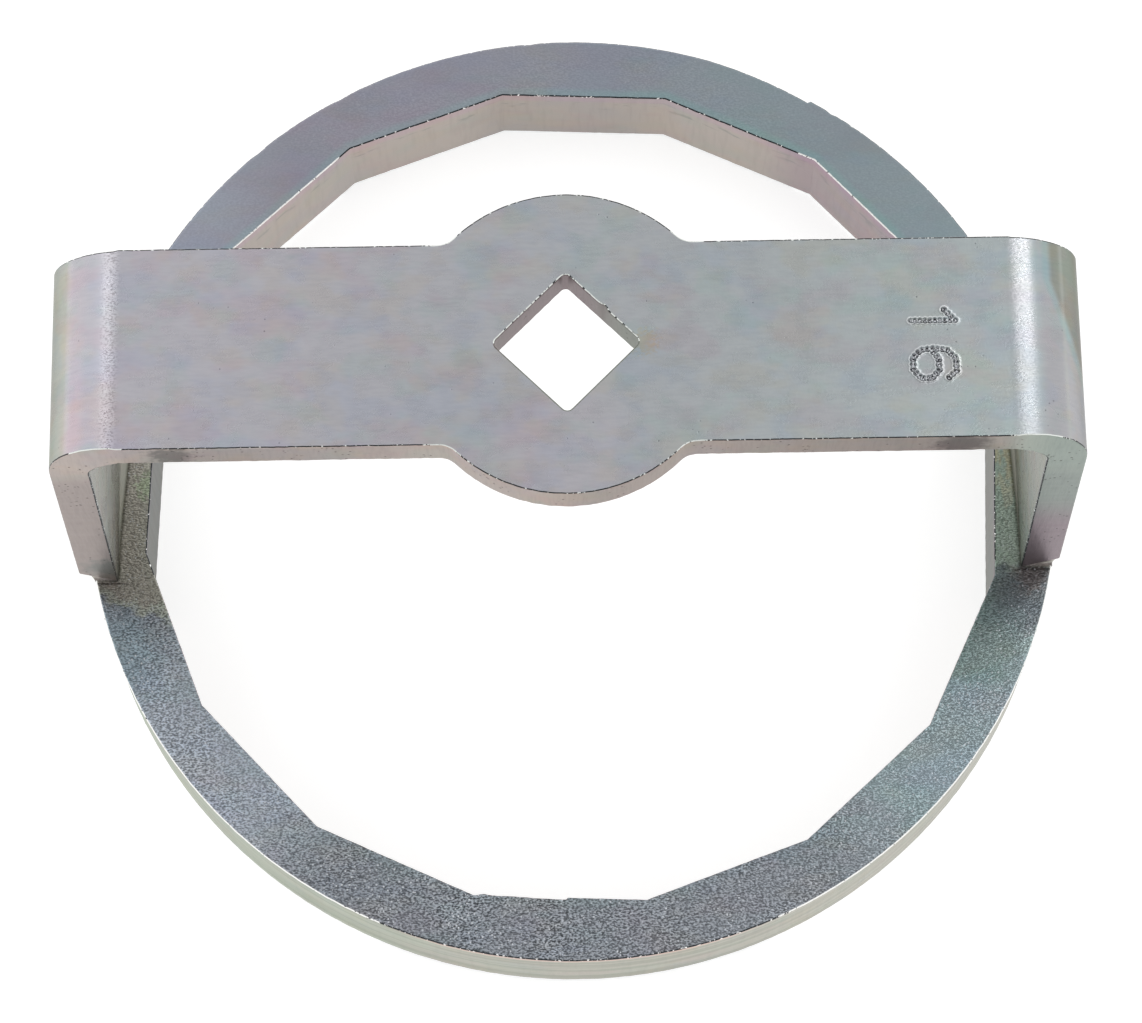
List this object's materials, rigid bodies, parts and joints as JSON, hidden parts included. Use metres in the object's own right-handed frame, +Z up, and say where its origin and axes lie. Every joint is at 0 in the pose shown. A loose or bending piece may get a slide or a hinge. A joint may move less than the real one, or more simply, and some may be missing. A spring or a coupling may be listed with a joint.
{
  "type": "oil filter cap wrench",
  "caption": "Flat ring with a many-sided opening that fits over a canister filter's cap, and a bent strap across it with a square drive hole.",
  "frame": {"origin": "on the ring's axis, at its underside, where the tool rests", "axes": "+X along the strap, +Y across it, +Z up the ring's axis from the cap side to the drive"},
  "size_m": [0.1335, 0.132, 0.0668],
  "materials": {
    "ring_plate": "flame-cut and scaled plate under clear zinc plating, blue-grey with an orange-peel surface",
    "strap_plate": "rolled plate under clear zinc plating, light grey with faint pink and green tints",
    "weld_bead": "rippled weld bead under clear zinc plating"
  },
  "bodies": {
    "root": {"ring": "ring_plate", "bridge": "strap_plate", "weld_left": "weld_bead", "weld_right": "weld_bead"}
  },
  "joints": []
}
